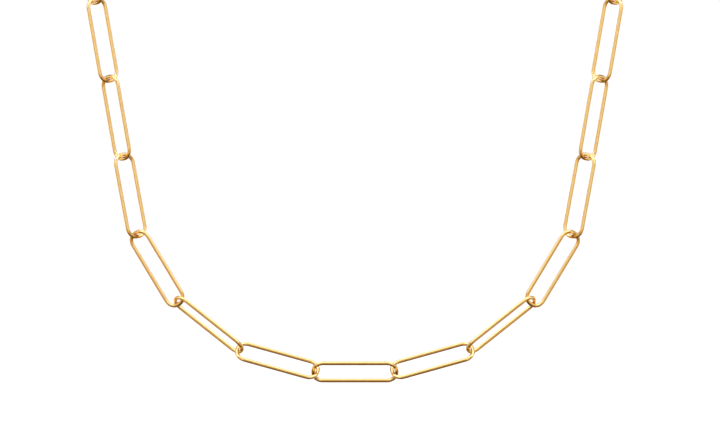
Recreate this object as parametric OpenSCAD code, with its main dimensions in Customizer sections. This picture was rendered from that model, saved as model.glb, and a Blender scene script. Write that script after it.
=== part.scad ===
// Paperclip chain necklace: a closed loop of long wire links, hung as it is worn round a neck.
// Millimetres, +Z up, +X to the right and the front of the necklace towards -Y.
// The origin is the nape of the neck, at the middle of the clasp.

/* [Links] */
// Outside length of a link
link_len = 20; // [17:0.5:22]
// Outside width of a link
link_w = 6; // [5.8:0.1:6.6]
// Diameter of the links' wire
wire_d = 0.9; // [0.7:0.05:0.9]
// Bend radius of a link's corners, at the middle of the wire
corner_r = 2.25; // [1.9:0.05:2.25]
// Play between two linked wires
play = 0.07; // [0.06:0.01:0.2]

/* [Clasp] */
// Radius of the ring, at the middle of its wire
ring_r = 2.4; // [2.2:0.1:3]
// Diameter of the ring's wire
ring_wire_d = 1.1; // [0.9:0.05:1.2]
// Radius of the eye, at the middle of its wire
eye_r = 1.15; // [1.1:0.05:1.3]
// Diameter of the eye's wire
eye_wire_d = 0.8; // [0.6:0.05:0.8]

/* [Hang] */
// Lean of the loop's plane, from upright back to the nape
lean = 45; // [0:5:60]
// Links on each side between the front and the clasp
nape_links = 5; // [5:1:6]

/* [Hidden] */
// Facets round a wire and round a bend
$fn = 48;

// Front links, from the middle of the front up one side. Columns:
// heading of the link above level, and roll about its length,
// slack, by how much it sits closer to the link before it than at full stretch,
// slip, how far outwards it has slid along the end of that link,
// and ahead, how far it stands in front of the loop's plane.
// At a roll of 0 the link lies flat in the loop's plane. A positive roll lifts the side
// that faces the inside of the loop towards the front.
HEADING = 0;
ROLL = 1;
SLACK = 2;
SLIP = 3;
AHEAD = 4;
front = [
    [0, 39, 0, 0, 0],
    [15.5, -44, 0, -0.18, 0.11],
    [38.5, 66, 0, -0.2, 0.12],
    [59, 37.5, 0.4, 0.42, -0.23],
    [79.5, -39.5, 0, -0.19, 0],
    [80, 48, 0, 0, 0],
    [80, -41.5, 0, 0, 0],
    [80, 49, 0, 0, 0],
];
last_front = len(front) - 1;

// Roll of the nape's links, turn and turn about, and of the clasp between the last two
nape_roll = 45;

// Slack of the nape's links, which turn the most from one to the next
nape_slack = 0.04;

side_links = last_front + nape_links;
links = 2 * side_links + 1;
middle = side_links + 1;

// From a link's middle to the point halfway between its wire and the next link's
reach = (link_len - 2 * wire_d - play) / 2;

// From the clasp's middle to the same points at its ends
clasp_reach = ring_r + eye_r - (ring_wire_d + eye_wire_d) / 4 - play / 2;

// Place of each link in the loop's upright plane, counted from the middle of the front up the left side:
// k is the count, and turn is the angle that each link of the nape turns from the one before it
function heading(k, turn) =
    k <= last_front ? front[k][HEADING] : front[last_front][HEADING] + (k - last_front) * turn;
function way(k, turn) = [-cos(heading(k, turn)), sin(heading(k, turn))];
// A step at full stretch, shortened by the slack and moved outwards by the slip
function loosened(step, slack, slip) =
    let (along = step / norm(step), outwards = [-along[1], along[0]])
    step - slack * along + slip * outwards;
function step_to(k, turn) =
    let (step = reach * (way(k - 1, turn) + way(k, turn)))
    k <= last_front ? loosened(step, front[k][SLACK], front[k][SLIP]) : loosened(step, nape_slack, 0);
function centre(k, turn) = k == 0 ? [0, 0] : centre(k - 1, turn) + step_to(k, turn);

// The turn at which the last link meets the clasp on the loop's middle line, found by halving its range
least_turn = 5;
most_turn = 30;
halvings = 30;
function loop_end(turn) = centre(side_links, turn) + reach * way(side_links, turn);
function closing_turn(low, high, left) =
    let (middle_turn = (low + high) / 2)
    left == 0 ? middle_turn
    : loop_end(middle_turn)[0] < -clasp_reach ? closing_turn(middle_turn, high, left - 1)
    : closing_turn(low, middle_turn, left - 1);
nape_turn = closing_turn(least_turn, most_turn, halvings);
nape_height = loop_end(nape_turn)[1];

// Alternate links of the nape roll to opposite sides, starting against the last link of the front
function roll(k) =
    k <= last_front ? front[k][ROLL] : (k - last_front) % 2 == 1 ? -nape_roll : nape_roll;
// The last links come in upside down over the nape, so the same roll lays the clasp square across them
clasp_roll = roll(side_links);

gold = "#E3B25C";

// Names: link_01 is next to the clasp on the left, and the count runs along the loop to the right
function link_name(n) = str("link_", n < 10 ? "0" : "", n);

// Straight wire along X, centred on the origin
module straight_wire(length, diameter) {
    rotate([0, 90, 0])
        cylinder(h = length, d = diameter, center = true);
}

// Quarter bend of wire in the XY plane, about the origin
module bent_wire(radius, diameter) {
    rotate_extrude(angle = 90)
        translate([radius, 0])
            circle(d = diameter);
}

// Closed ring of wire in the XY plane
module wire_ring(radius, diameter) {
    rotate_extrude()
        translate([radius, 0])
            circle(d = diameter);
}

// One link in the XY plane, its length along X
module wire_link() {
    half_len = (link_len - wire_d) / 2;
    half_w = (link_w - wire_d) / 2;
    bend_x = half_len - corner_r;
    bend_y = half_w - corner_r;
    for (side = [-1, 1]) {
        translate([0, side * half_w, 0])
            straight_wire(2 * bend_x, wire_d);
        translate([side * half_len, 0, 0])
            rotate([0, 0, 90])
                straight_wire(2 * bend_y, wire_d);
    }
    for (corner = [0 : 3])
        translate([corner == 0 || corner == 3 ? bend_x : -bend_x, corner < 2 ? bend_y : -bend_y, 0])
            rotate([0, 0, 90 * corner])
                bent_wire(corner_r, wire_d);
}

// The upright loop leant back about the nape
module hang() {
    rotate([-lean, 0, 0])
        children();
}

// Link number n, from the clasp round the left side, the front and the right side
module link(n) {
    k = abs(n - middle);
    side = sign(n - middle);
    place = centre(k, nape_turn);
    ahead = k <= last_front ? front[k][AHEAD] : 0;
    color(gold)
        hang()
            translate([-side * place[0], -ahead, place[1] - nape_height])
                rotate([0, -side * heading(k, nape_turn), 0])
                    rotate([90 + roll(k), 0, 0])
                        wire_link();
}

// Plain clasp at the nape: a ring for one end of the chain, and an eye for the other
module clasp() {
    ring_x = -clasp_reach - (ring_wire_d + play) / 2 + ring_r;
    eye_x = clasp_reach + (eye_wire_d + play) / 2 - eye_r;
    color(gold)
        hang()
            rotate([90 + clasp_roll, 0, 0]) {
                translate([ring_x, 0, 0])
                    wire_ring(ring_r, ring_wire_d);
                translate([eye_x, 0, 0])
                    wire_ring(eye_r, eye_wire_d);
            }
}

for (n = [1 : links])
    link(n);
clasp();
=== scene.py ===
import math

import bmesh
import bpy
import numpy as np
from mathutils import Matrix, Vector


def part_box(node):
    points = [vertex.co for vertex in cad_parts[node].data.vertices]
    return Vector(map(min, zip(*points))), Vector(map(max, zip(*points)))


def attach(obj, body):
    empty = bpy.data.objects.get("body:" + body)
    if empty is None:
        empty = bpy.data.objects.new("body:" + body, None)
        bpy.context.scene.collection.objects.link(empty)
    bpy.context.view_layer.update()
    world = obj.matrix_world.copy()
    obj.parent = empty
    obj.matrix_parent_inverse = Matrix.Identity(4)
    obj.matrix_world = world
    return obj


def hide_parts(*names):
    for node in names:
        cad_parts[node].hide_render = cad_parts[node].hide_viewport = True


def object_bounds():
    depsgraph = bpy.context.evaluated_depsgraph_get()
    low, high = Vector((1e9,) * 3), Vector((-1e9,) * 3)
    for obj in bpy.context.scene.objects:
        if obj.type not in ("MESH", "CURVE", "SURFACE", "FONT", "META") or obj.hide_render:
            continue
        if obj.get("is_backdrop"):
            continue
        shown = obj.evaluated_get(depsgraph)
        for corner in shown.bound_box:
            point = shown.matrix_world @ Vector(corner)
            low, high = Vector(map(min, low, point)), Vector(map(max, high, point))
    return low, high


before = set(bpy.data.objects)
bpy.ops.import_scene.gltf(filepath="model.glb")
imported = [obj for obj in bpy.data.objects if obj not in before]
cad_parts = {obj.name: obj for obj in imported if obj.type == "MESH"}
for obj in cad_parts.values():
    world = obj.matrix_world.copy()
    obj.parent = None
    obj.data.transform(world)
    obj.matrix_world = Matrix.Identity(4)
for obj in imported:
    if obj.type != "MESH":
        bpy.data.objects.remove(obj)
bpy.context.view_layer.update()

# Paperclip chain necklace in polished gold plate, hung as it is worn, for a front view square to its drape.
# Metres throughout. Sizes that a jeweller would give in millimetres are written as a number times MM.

MM = 0.001

# Link: outside length and width, wire, and the radius of its four bends at the middle of the wire
LINK_LENGTH = 20 * MM
LINK_WIDTH = 6 * MM
WIRE = 0.9 * MM
BEND_RADIUS = 2.25 * MM

# Clasp: ring and eye, each with its radius at the middle of its wire, and its wire
RING_RADIUS = 2.4 * MM
RING_WIRE = 1.1 * MM
EYE_RADIUS = 1.15 * MM
EYE_WIRE = 0.8 * MM

# Solder between the ring and the eye: the grain that joins them, and how often it is smoothed
SOLDER_GRAIN = 0.07 * MM
SOLDER_SMOOTHING = 6

# Fineness of the wire: faces round it, and steps along a bend, a long side, an end and a ring
WIRE_SIDES = 32
BEND_STEPS = 14
LONG_STEPS = 10
END_STEPS = 2
RING_STEPS = 64

# Points closer than this are one point
SAME_POINT = 0.01 * MM

LINKS = sorted(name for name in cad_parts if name.startswith("link_"))
MIDDLE_LINK = LINKS[len(LINKS) // 2]


def linear(hex_colour):
    """An sRGB hex colour as linear red, green, blue and full alpha."""
    channels = [int(hex_colour[i : i + 2], 16) / 255 for i in (1, 3, 5)]
    return [c / 12.92 if c <= 0.04045 else ((c + 0.055) / 1.055) ** 2.4 for c in channels] + [1.0]


def add_node(tree, kind, links=(), **settings):
    """Adds a node. A setting named as an input sets that input, any other sets the node's own property."""
    node = tree.nodes.new(kind)
    for name, value in settings.items():
        socket = node.inputs.get(name.replace("_", " "))
        if socket is None:
            setattr(node, name, value)
        else:
            socket.default_value = value
    for output, name in links:
        tree.links.new(output, node.inputs[name])
    return node


# Where each CAD link lies

def lie_of(name):
    """The matrix from a link's own axes, length along X and width along Y, to where its CAD node lies."""
    points = np.array([v.co[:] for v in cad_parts[name].data.vertices], dtype=float)
    middle = (points.min(axis=0) + points.max(axis=0)) / 2
    _, axes = np.linalg.eigh(np.cov((points - middle).T))
    long_way, wide_way = Vector(axes[:, 2]), Vector(axes[:, 1])
    if long_way.x < 0:
        long_way.negate()
    square_way = long_way.cross(wide_way)
    turned = Matrix((long_way, wide_way, square_way)).transposed().to_4x4()
    return Matrix.Translation(Vector(middle)) @ turned


# Pieces

def wire_section(bm, diameter):
    """A round section of wire in the YZ plane about the origin, as a ring of edges."""
    made = bmesh.ops.create_circle(bm, segments=WIRE_SIDES, radius=diameter / 2)
    bmesh.ops.rotate(bm, verts=made["verts"], matrix=Matrix.Rotation(math.pi / 2, 3, "Y"))
    return list({edge for vert in made["verts"] for edge in vert.link_edges})


def run_on(bm, section, way, steps):
    """Draws a straight run of wire on from a section, in a number of equal steps."""
    for _ in range(steps):
        made = bmesh.ops.extrude_edge_only(bm, edges=section)["geom"]
        bmesh.ops.translate(bm, verts=[g for g in made if isinstance(g, bmesh.types.BMVert)], vec=way / steps)
        section = [g for g in made if isinstance(g, bmesh.types.BMEdge)
                   and all(v in made for v in g.verts)]
    return section


def bend_on(bm, section, centre, angle):
    """Bends a run of wire on from a section, about an upright axis through a centre."""
    made = bmesh.ops.spin(bm, geom=section, cent=centre, axis=(0, 0, 1), dvec=(0, 0, 0), angle=angle,
                          steps=BEND_STEPS, use_merge=False, use_normal_flip=False, use_duplicate=False)
    return [g for g in made["geom_last"] if isinstance(g, bmesh.types.BMEdge)]


def link_shape():
    """One link of bent wire, closed, with its length along X and its width along Y."""
    half_length = (LINK_LENGTH - WIRE) / 2
    half_width = (LINK_WIDTH - WIRE) / 2
    bend_x = half_length - BEND_RADIUS
    bend_y = half_width - BEND_RADIUS
    bm = bmesh.new()
    section = wire_section(bm, WIRE)
    bmesh.ops.translate(bm, verts=bm.verts, vec=(-bend_x, -half_width, 0))
    for side in (1, -1):
        section = run_on(bm, section, Vector((side * 2 * bend_x, 0, 0)), LONG_STEPS)
        section = bend_on(bm, section, (side * bend_x, -side * bend_y, 0), math.pi / 2)
        section = run_on(bm, section, Vector((0, side * 2 * bend_y, 0)), END_STEPS)
        section = bend_on(bm, section, (side * bend_x, side * bend_y, 0), math.pi / 2)
    bmesh.ops.remove_doubles(bm, verts=bm.verts, dist=SAME_POINT)
    bmesh.ops.recalc_face_normals(bm, faces=bm.faces)
    return bm


def wire_ring(bm, centre, radius, diameter):
    """A closed ring of round wire, level, about a centre."""
    section = wire_section(bm, diameter)
    start = list({vert for edge in section for vert in edge.verts})
    bmesh.ops.translate(bm, verts=start, vec=centre - Vector((0, radius, 0)))
    bmesh.ops.spin(bm, geom=section, cent=centre, axis=(0, 0, 1), dvec=(0, 0, 0), angle=2 * math.pi,
                   steps=RING_STEPS, use_merge=True, use_normal_flip=False, use_duplicate=False)


def clasp_shape():
    """The clasp: a ring and a smaller eye, soldered side by side into one body with a small fillet."""
    low, high = (Vector(corner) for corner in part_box("clasp"))
    middle = (low + high) / 2
    ring_centre = Vector((low.x + RING_WIRE / 2 + RING_RADIUS, middle.y, middle.z))
    eye_centre = Vector((high.x - EYE_WIRE / 2 - EYE_RADIUS, middle.y, middle.z))
    bm = bmesh.new()
    wire_ring(bm, ring_centre, RING_RADIUS, RING_WIRE)
    wire_ring(bm, eye_centre, EYE_RADIUS, EYE_WIRE)
    bmesh.ops.remove_doubles(bm, verts=bm.verts, dist=SAME_POINT)
    bmesh.ops.recalc_face_normals(bm, faces=bm.faces)
    mesh = bpy.data.meshes.new("rings")
    bm.to_mesh(mesh)
    rings = bpy.data.objects.new("rings", mesh)
    bpy.context.scene.collection.objects.link(rings)
    solder = rings.modifiers.new("solder", "REMESH")
    solder.mode = "VOXEL"
    solder.voxel_size = SOLDER_GRAIN
    joined = rings.evaluated_get(bpy.context.evaluated_depsgraph_get()).to_mesh()
    bm.clear()
    bm.from_mesh(joined)
    bpy.data.objects.remove(rings)
    for _ in range(SOLDER_SMOOTHING):
        bmesh.ops.smooth_vert(bm, verts=bm.verts, factor=0.5,
                              use_axis_x=True, use_axis_y=True, use_axis_z=True)
    return bm


def finished_piece(name, bm, place, node, material):
    """Makes an object of a shape, put in its place in the mesh, that stands for a CAD node."""
    bmesh.ops.transform(bm, matrix=place, verts=bm.verts)
    mesh = bpy.data.meshes.new(name)
    bm.to_mesh(mesh)
    bm.free()
    mesh.shade_smooth()
    mesh.materials.append(material)
    piece = bpy.data.objects.new(name, mesh)
    bpy.context.scene.collection.objects.link(piece)
    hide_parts(node)
    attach(piece, "root")


# Materials

# Buffing haze: size of its patches, its darkest and palest gold, and its smoothest and roughest
HAZE_PATCH = 1.5 * MM
HAZE_GOLD = ("#F1CC8B", "#F5D292")
HAZE_ROUGHNESS = (0.15, 0.23)

# Ripple that drawing and tumbling leave in the wire: its pitch and depth, and how much of it the buffing left
RIPPLE_PITCH = 0.8 * MM
RIPPLE_DEPTH = 0.006 * MM
RIPPLE_LEFT = 0.1


def polished_gold_plate():
    """Gold plate over drawn brass wire, tumbled and buffed.

    A soft mirror: it shows the studio in its own warm yellow, deepens to orange where links face each
    other, and the buffing leaves a faint haze that varies along the wire.
    """
    material = bpy.data.materials.new("polished_gold_plate")
    material.use_nodes = True
    tree = material.node_tree
    shader = tree.nodes["Principled BSDF"]
    shader.inputs["Metallic"].default_value = 1.0
    place = add_node(tree, "ShaderNodeTexCoord").outputs["Object"]
    haze = add_node(tree, "ShaderNodeTexNoise", [(place, "Vector")], Scale=1 / HAZE_PATCH, Detail=3.0)
    tone = add_node(tree, "ShaderNodeValToRGB", [(haze.outputs["Fac"], "Fac")])
    for stop, gold_tone in zip(tone.color_ramp.elements, HAZE_GOLD):
        stop.color = linear(gold_tone)
    tree.links.new(tone.outputs["Color"], shader.inputs["Base Color"])
    rough = add_node(tree, "ShaderNodeMapRange", [(haze.outputs["Fac"], "Value")],
                     To_Min=HAZE_ROUGHNESS[0], To_Max=HAZE_ROUGHNESS[1])
    tree.links.new(rough.outputs["Result"], shader.inputs["Roughness"])
    ripple = add_node(tree, "ShaderNodeTexNoise", [(place, "Vector")], Scale=1 / RIPPLE_PITCH, Detail=2.0)
    bump = add_node(tree, "ShaderNodeBump", [(ripple.outputs["Fac"], "Height")],
                    Strength=RIPPLE_LEFT, Distance=RIPPLE_DEPTH)
    tree.links.new(bump.outputs["Normal"], shader.inputs["Normal"])
    return material


# The necklace

gold = polished_gold_plate()
for link in LINKS:
    finished_piece("polished_" + link, link_shape(), lie_of(link), link, gold)
finished_piece("polished_clasp", clasp_shape(), Matrix.Identity(4), "clasp", gold)

# The picture: the photograph's frame, its mirror line and the height of the middle link in it, in pixels
FRAME_WIDTH_PX, FRAME_HEIGHT_PX = 720, 424
MIRROR_LINE_PX = 354.9
MIDDLE_LINK_PX = 371.9
PIXEL = 0.2292 * MM

# The lens: how far from the drape it stands, the width of its film in millimetres, and how far it sees
CAMERA_AWAY = 4.0
FILM_WIDTH = 36.0
SEES_TO = 50

# The picture's directions: right, down the drape, and from the drape towards the camera
right = Vector((1, 0, 0))
middle_low, middle_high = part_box(MIDDLE_LINK)
drop = (Vector(middle_low) + Vector(middle_high)) / 2
down = drop.normalized()
facing = right.cross(-down)
facing = facing if facing.z > 0 else -facing
up = -down


def camera():
    """A long lens, square to the drape, that frames it as the photograph does."""
    data = bpy.data.cameras.new("camera")
    data.sensor_width = FILM_WIDTH
    data.lens = FILM_WIDTH * CAMERA_AWAY / (FRAME_WIDTH_PX * PIXEL)
    data.clip_end = SEES_TO
    aim = drop + right * (FRAME_WIDTH_PX / 2 - MIRROR_LINE_PX) * PIXEL
    aim -= down * (MIDDLE_LINK_PX - FRAME_HEIGHT_PX / 2) * PIXEL
    turned = Matrix((right, up, facing)).transposed().to_4x4()
    seat = bpy.data.objects.new("camera", data)
    seat.matrix_world = Matrix.Translation(aim + facing * CAMERA_AWAY) @ turned
    bpy.context.scene.collection.objects.link(seat)
    bpy.context.scene.camera = seat


def facing_place(target, way, away):
    """The matrix that stands a lamp or card off a target, in a direction, and turns it to face the target."""
    way = way.normalized()
    return Matrix.Translation(target + way * away) @ way.to_track_quat("Z", "Y").to_matrix().to_4x4()


def softbox(name, way, away, wide, high, strength, tint):
    """A rectangular soft light that faces the middle of the loop. It adds to the sky behind it."""
    data = bpy.data.lights.new(name, "AREA")
    data.shape = "RECTANGLE"
    data.size, data.size_y = wide, high
    data.energy = strength * wide * high * math.pi
    data.color = linear(tint)[:3]
    lamp = bpy.data.objects.new(name, data)
    lamp.matrix_world = facing_place(drop / 2, way, away)
    lamp.visible_camera = False
    bpy.context.scene.collection.objects.link(lamp)


MATT_ROUGHNESS = 0.9


def matt_paper(colour):
    """Matt paper, for the floor."""
    material = bpy.data.materials.new("matt_paper")
    material.use_nodes = True
    shader = material.node_tree.nodes["Principled BSDF"]
    shader.inputs["Base Color"].default_value = linear(colour)
    shader.inputs["Roughness"].default_value = MATT_ROUGHNESS
    return material


def lit_paper(colour, strength):
    """Evenly lit paper, which shows its own tone wherever the metal reflects it."""
    material = bpy.data.materials.new("lit_paper")
    material.use_nodes = True
    tree = material.node_tree
    glow = add_node(tree, "ShaderNodeEmission", Color=linear(colour), Strength=strength)
    tree.links.new(glow.outputs["Emission"], tree.nodes["Material Output"].inputs["Surface"])
    return material


def staged(name, bm, material):
    """Makes an object of the set from a shape."""
    mesh = bpy.data.meshes.new(name)
    bm.to_mesh(mesh)
    bm.free()
    mesh.materials.append(material)
    piece = bpy.data.objects.new(name, mesh)
    bpy.context.scene.collection.objects.link(piece)
    piece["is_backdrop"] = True
    return piece


def hidden_from(piece, *rays):
    """Hides an object of the set from some kinds of ray."""
    for ray in rays:
        setattr(piece, "visible_" + ray, False)


def card(name, target, way, away, wide, high, colour, strength):
    """A card that faces a target and that only the metal sees."""
    bm = bmesh.new()
    bmesh.ops.create_grid(bm, x_segments=1, y_segments=1, size=0.5)
    bmesh.ops.scale(bm, vec=(wide, high, 1), verts=bm.verts)
    bmesh.ops.transform(bm, matrix=facing_place(target, way, away), verts=bm.verts)
    hidden_from(staged(name, bm, lit_paper(colour, strength)), "camera", "diffuse", "shadow")


camera()

# A pale floor under the necklace. The metal doesn't see it
FLOOR_BELOW = 0.40
FLOOR_RADIUS = 8
FLOOR_SIDES = 96
FLOOR_COLOUR = "#EFF1F3"
floor = bmesh.new()
bmesh.ops.create_circle(floor, cap_ends=True, segments=FLOOR_SIDES, radius=FLOOR_RADIUS,
                        matrix=Matrix.Translation((0, 0, -FLOOR_BELOW)))
hidden_from(staged("floor", floor, matt_paper(FLOOR_COLOUR)), "glossy")

# The sky that the metal sees: dark below the drape, a warm glow low down, dim higher up and pale overhead.
# Columns: height in the picture, from -1 at its foot to 1 overhead, and colour.
SKY_STRENGTH = 1.5
SKY_STOPS = [(-1.0, "#000000"), (-0.5, "#AE8B4A"), (-0.2, "#98907E"), (0.05, "#7F6D47"), (0.3, "#645F58"),
             (0.65, "#4A4640"), (1.0, "#F0EEE8")]
world = bpy.data.worlds.new("studio")
world.use_nodes = True
tree = world.node_tree
way_seen = add_node(tree, "ShaderNodeTexCoord").outputs["Generated"]
climb = add_node(tree, "ShaderNodeVectorMath", operation="DOT_PRODUCT")
tree.links.new(way_seen, climb.inputs[0])
climb.inputs[1].default_value = up
height = add_node(tree, "ShaderNodeMapRange", [(climb.outputs["Value"], "Value")],
                  From_Min=-1.0, From_Max=1.0)
sky = add_node(tree, "ShaderNodeValToRGB", [(height.outputs["Result"], "Fac")])
stops = sky.color_ramp.elements
while len(stops) < len(SKY_STOPS):
    stops.new(0.5)
for stop, (climbed, colour) in zip(stops, SKY_STOPS):
    stop.position = (climbed + 1) / 2
    stop.color = linear(colour)
tree.links.new(sky.outputs["Color"], tree.nodes["Background"].inputs["Color"])
tree.nodes["Background"].inputs["Strength"].default_value = SKY_STRENGTH

# Behind the floor the camera sees a plain pale wall in place of that sky
WALL_COLOUR = "#CFCDC8"
wall = add_node(tree, "ShaderNodeBackground", Color=linear(WALL_COLOUR))
looked_at = add_node(tree, "ShaderNodeLightPath").outputs["Is Camera Ray"]
shown = add_node(tree, "ShaderNodeMixShader", [(looked_at, "Fac")])
tree.links.new(tree.nodes["Background"].outputs["Background"], shown.inputs[1])
tree.links.new(wall.outputs["Background"], shown.inputs[2])
tree.links.new(shown.outputs["Shader"], tree.nodes["World Output"].inputs["Surface"])
bpy.context.scene.world = world

# Softboxes. Columns: name, the way to it as amounts of right, up and facing, how far away it stands, width,
# height, brightness and tint. One with an amount of right stands on both sides.
WHITE = "#FFFFFF"
COOL = "#F6F7FF"
SOFTBOXES = [
    ("front_softbox", 0, 0.35, 1, 1.5, 1.2, 0.75, 0.85, WHITE),
    ("top_softbox", 0, 1, 0.45, 1.0, 2.0, 0.75, 1.6, COOL),
    ("low_softbox", 0.47, -0.04, 0.9, 1.3, 0.8, 0.6, 0.92, WHITE),
    ("shoulder_softbox", 0.58, 0.36, 0.73, 1.3, 0.45, 0.45, 0.6, WHITE),
    ("foot_softbox", 0.48, -0.56, 0.66, 1.3, 0.34, 0.34, 0.8, WHITE),
    ("high_softbox", 0.75, 0.60, 0.35, 1.1, 1.0, 0.9, 1.6, COOL),
    ("side_softbox", 1, 0, -0.15, 1.1, 0.7, 0.9, 0.8, COOL),
]
for side in (0, -1, 1):
    for name, aside, above, ahead, away, wide, high, strength, tint in SOFTBOXES:
        if bool(side) == bool(aside):
            way = side * aside * right + above * up + ahead * facing
            softbox(name, way, away, wide, high, strength, tint)

# A card behind the drape and a little above it, which lights the wires' edges
CARD_RISE = 0.08
CARD_BEHIND = 0.35
CARD_WIDTH, CARD_HEIGHT = 0.70, 0.50
CARD_STRENGTH = 1.2
card("back_card", drop + up * CARD_RISE, -facing, CARD_BEHIND, CARD_WIDTH, CARD_HEIGHT, COOL, CARD_STRENGTH)

bpy.context.scene.view_settings.view_transform = "Standard"

low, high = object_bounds()
